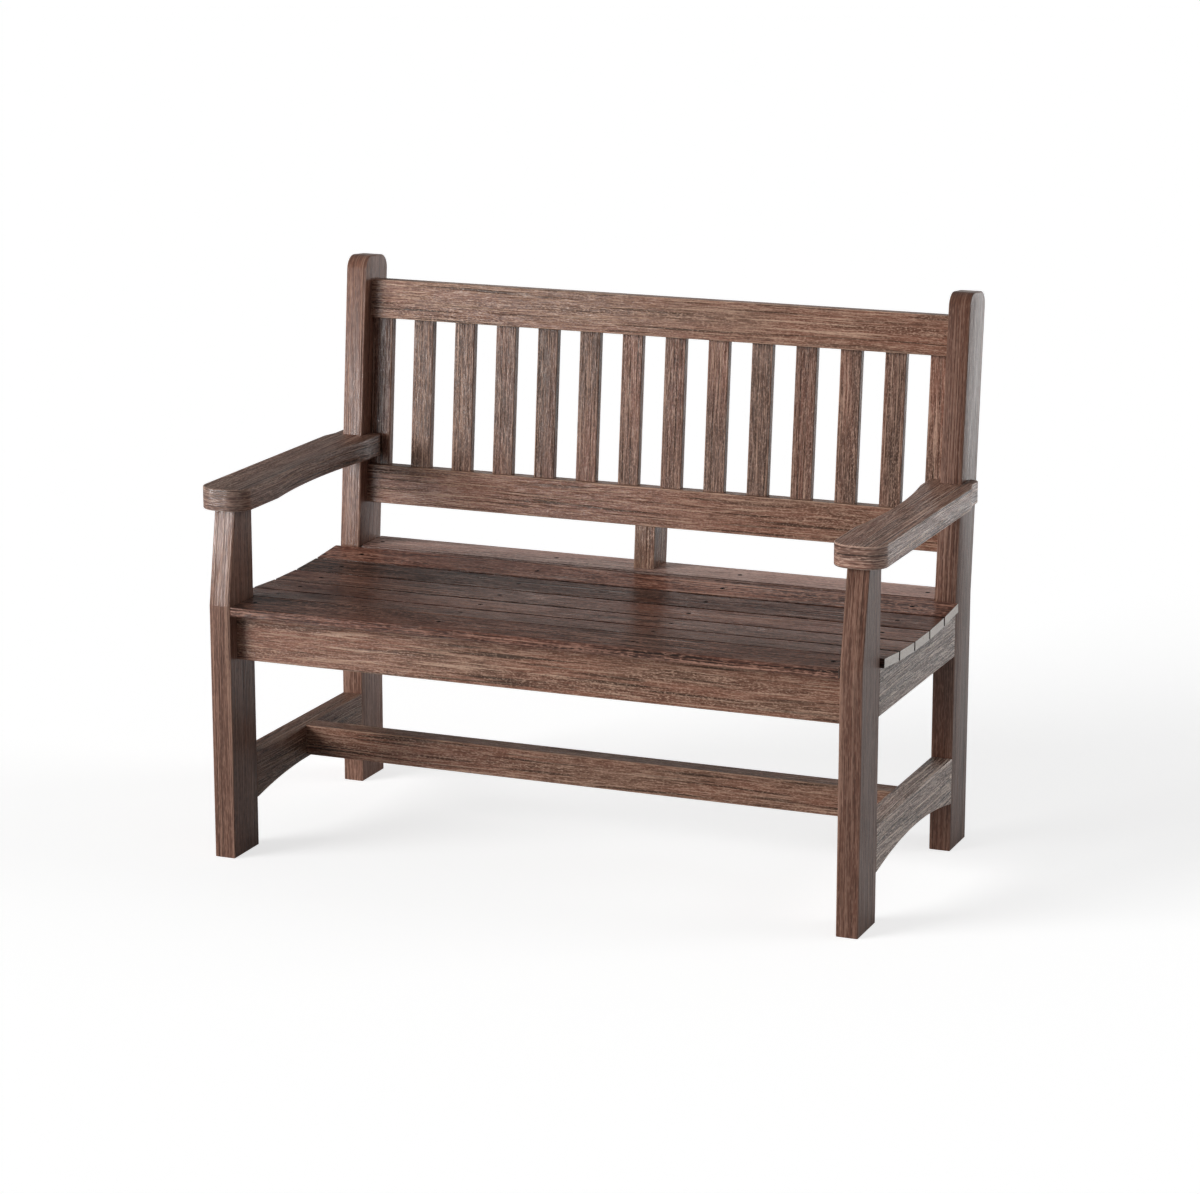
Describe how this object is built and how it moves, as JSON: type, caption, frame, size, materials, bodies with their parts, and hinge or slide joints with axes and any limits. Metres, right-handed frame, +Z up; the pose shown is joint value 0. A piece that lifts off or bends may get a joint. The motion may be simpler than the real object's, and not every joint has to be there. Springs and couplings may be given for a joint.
{
  "type": "garden bench",
  "caption": "Two-seat garden bench of recycled plastic boards, with a dished slatted seat, an upright slatted back, waisted armrests and low stretchers.",
  "frame": {"origin": "on the floor, at the bottom centre of the bench's bounding box", "axes": "+X along the bench towards a seated person's left hand, +Y from the front edge to the back, +Z up"},
  "size_m": [1.2108, 0.6356, 0.9626],
  "materials": {
    "frame_boards": "matt, with an embossed wood grain",
    "seat_slats": "matt, with an embossed wood grain",
    "back_slats": "matt, with an embossed wood grain",
    "screws": "dark coated stainless steel"
  },
  "bodies": {
    "root": {"front_leg_left": "frame_boards", "front_leg_right": "frame_boards", "rear_leg_left": "frame_boards", "rear_leg_right": "frame_boards", "arm_left": "frame_boards", "arm_right": "frame_boards", "front_seat_rail": "frame_boards", "rear_seat_rail": "frame_boards", "side_seat_rail_left": "frame_boards", "side_seat_rail_right": "frame_boards", "seat_bearer_end_left": "frame_boards", "seat_bearer_mid_left": "frame_boards", "seat_bearer_mid_right": "frame_boards", "seat_bearer_end_right": "frame_boards", "seat_slat_1": "seat_slats", "seat_slat_2": "seat_slats", "seat_slat_3": "seat_slats", "seat_slat_4": "seat_slats", "seat_slat_5": "seat_slats", "seat_slat_6": "seat_slats", "seat_slat_7": "seat_slats", "side_stretcher_left": "frame_boards", "side_stretcher_right": "frame_boards", "long_stretcher": "frame_boards", "back_top_rail": "frame_boards", "back_lower_rail": "frame_boards", "back_centre_post": "frame_boards", "back_slat_1": "back_slats", "back_slat_2": "back_slats", "back_slat_3": "back_slats", "back_slat_4": "back_slats", "back_slat_5": "back_slats", "back_slat_6": "back_slats", "back_slat_7": "back_slats", "back_slat_8": "back_slats", "back_slat_9": "back_slats", "back_slat_10": "back_slats", "back_slat_11": "back_slats", "back_slat_12": "back_slats", "back_slat_13": "back_slats", "back_slat_14": "back_slats", "seat_screws": "screws", "centre_post_screws": "screws"}
  },
  "joints": []
}
